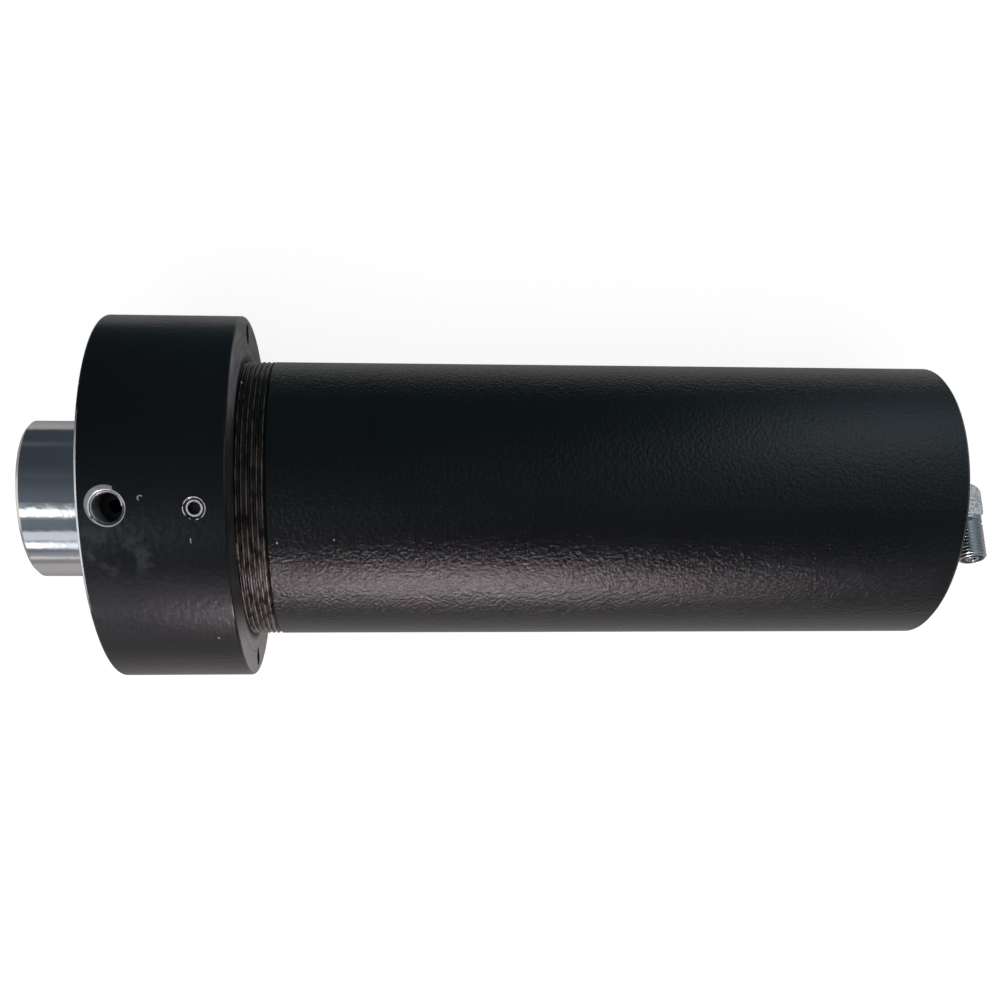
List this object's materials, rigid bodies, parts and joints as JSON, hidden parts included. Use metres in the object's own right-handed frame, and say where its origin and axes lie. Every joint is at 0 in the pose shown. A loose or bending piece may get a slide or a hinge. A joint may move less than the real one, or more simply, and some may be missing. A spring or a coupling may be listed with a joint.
{
  "type": "hydraulic ram",
  "caption": "Hydraulic ram: plated rod sliding out of a screwed-on head collar with a side port, on a welded barrel with an elbow fitting at its base.",
  "frame": {"origin": "centre of the collar's rear face, on the ram's axis", "axes": "+X along the ram towards the base, so the rod leaves towards -X; +Z through the rod-side port in the collar"},
  "size_m": [0.4106, 0.15, 0.15],
  "materials": {
    "black_paint": "semi-gloss black paint with a fine orange peel",
    "rod_chrome": "hard chrome, ground and polished",
    "machined_steel": "turned steel",
    "zinc_steel": "bright zinc plate over a forged skin",
    "black_oxide": "black oxide",
    "brass": "turned",
    "seal_rubber": "satin moulded rubber",
    "wiper_polyurethane": "satin moulded polyurethane",
    "guide_plastic": "dull filled plastic"
  },
  "bodies": {
    "barrel": {"barrel_tube": "black_paint", "base_plug": "black_paint", "base_weld": "black_paint", "head_collar": "black_paint", "collar_grub_screw": "black_oxide", "grub_pad": "brass", "rod_wiper": "wiper_polyurethane", "rod_seal": "seal_rubber", "rod_guide_ring_front": "guide_plastic", "rod_guide_ring_rear": "guide_plastic", "head_o_ring": "seal_rubber", "head_backup_ring": "guide_plastic", "elbow_body": "zinc_steel", "elbow_face_o_ring": "seal_rubber", "elbow_stud_o_ring": "seal_rubber", "elbow_washer": "zinc_steel", "elbow_lock_nut": "zinc_steel"},
    "piston_rings": {"piston_seal": "guide_plastic", "piston_seal_energiser": "seal_rubber", "piston_guide_ring_front": "guide_plastic", "piston_guide_ring_rear": "guide_plastic"},
    "rod": {"rod": "rod_chrome", "piston": "machined_steel", "piston_static_o_ring": "seal_rubber", "piston_nut": "machined_steel", "nut_lock_screw": "black_oxide"}
  },
  "joints": [
    {"name": "rod_slide", "type": "slide", "parent": "barrel", "child": "piston_rings", "axis": [-1, 0, 0], "range_m": [0, 0.2]},
    {"name": "rod_turn", "type": "hinge", "parent": "piston_rings", "child": "rod", "pos_m": [0, 0, 0], "axis": [-1, 0, 0], "continuous": true}
  ]
}
